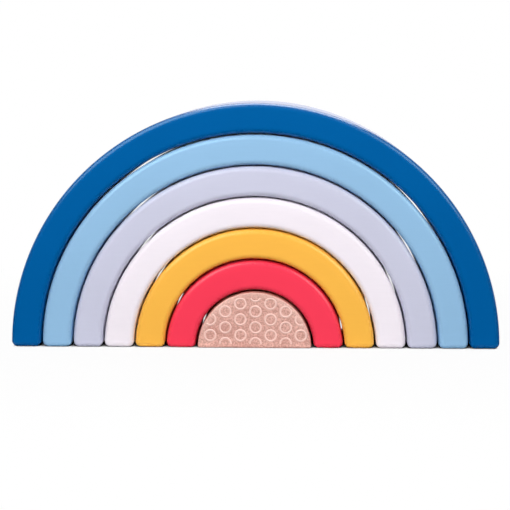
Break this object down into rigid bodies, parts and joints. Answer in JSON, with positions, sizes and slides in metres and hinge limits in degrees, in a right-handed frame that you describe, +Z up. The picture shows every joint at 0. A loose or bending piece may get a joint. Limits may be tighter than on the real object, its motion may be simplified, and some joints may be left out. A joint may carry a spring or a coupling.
{
  "type": "rainbow stacker",
  "caption": "Nesting rainbow of loose lacquered wooden half-ring arches over a half-round natural wood block with a printed ring pattern, for a toddler to lift apart and stack.",
  "frame": {"origin": "middle of the footprint, on the surface that the feet stand on", "axes": "+X across the width to the right of the printed face, +Y from the printed front face to the back, +Z up"},
  "size_m": [0.24, 0.058, 0.1197],
  "materials": {
    "beech": "bare wood, sanded smooth",
    "red_lacquer": "satin lacquer on wood",
    "yellow_lacquer": "satin lacquer on wood",
    "white_lacquer": "satin lacquer on wood",
    "grey_lacquer": "satin lacquer on wood",
    "light_blue_lacquer": "satin lacquer on wood",
    "dark_blue_lacquer": "satin lacquer on wood",
    "ring_ink": "thin flat print"
  },
  "bodies": {
    "block": {"centre_block": "beech"},
    "red": {"red_arch": "red_lacquer"},
    "yellow": {"yellow_arch": "yellow_lacquer"},
    "white": {"white_arch": "white_lacquer"},
    "grey": {"grey_arch": "grey_lacquer"},
    "light_blue": {"light_blue_arch": "light_blue_lacquer"},
    "dark_blue": {"dark_blue_arch": "dark_blue_lacquer"}
  },
  "joints": [
    {"name": "red_lift", "type": "slide", "parent": "block", "child": "red", "axis": [0, 0, 1], "range_m": [0, 0.037]},
    {"name": "yellow_lift", "type": "slide", "parent": "red", "child": "yellow", "axis": [0, 0, 1], "range_m": [0, 0.053]},
    {"name": "white_lift", "type": "slide", "parent": "yellow", "child": "white", "axis": [0, 0, 1], "range_m": [0, 0.068]},
    {"name": "grey_lift", "type": "slide", "parent": "white", "child": "grey", "axis": [0, 0, 1], "range_m": [0, 0.083]},
    {"name": "light_blue_lift", "type": "slide", "parent": "grey", "child": "light_blue", "axis": [0, 0, 1], "range_m": [0, 0.098]},
    {"name": "dark_blue_lift", "type": "slide", "parent": "light_blue", "child": "dark_blue", "axis": [0, 0, 1], "range_m": [0, 0.114]}
  ]
}
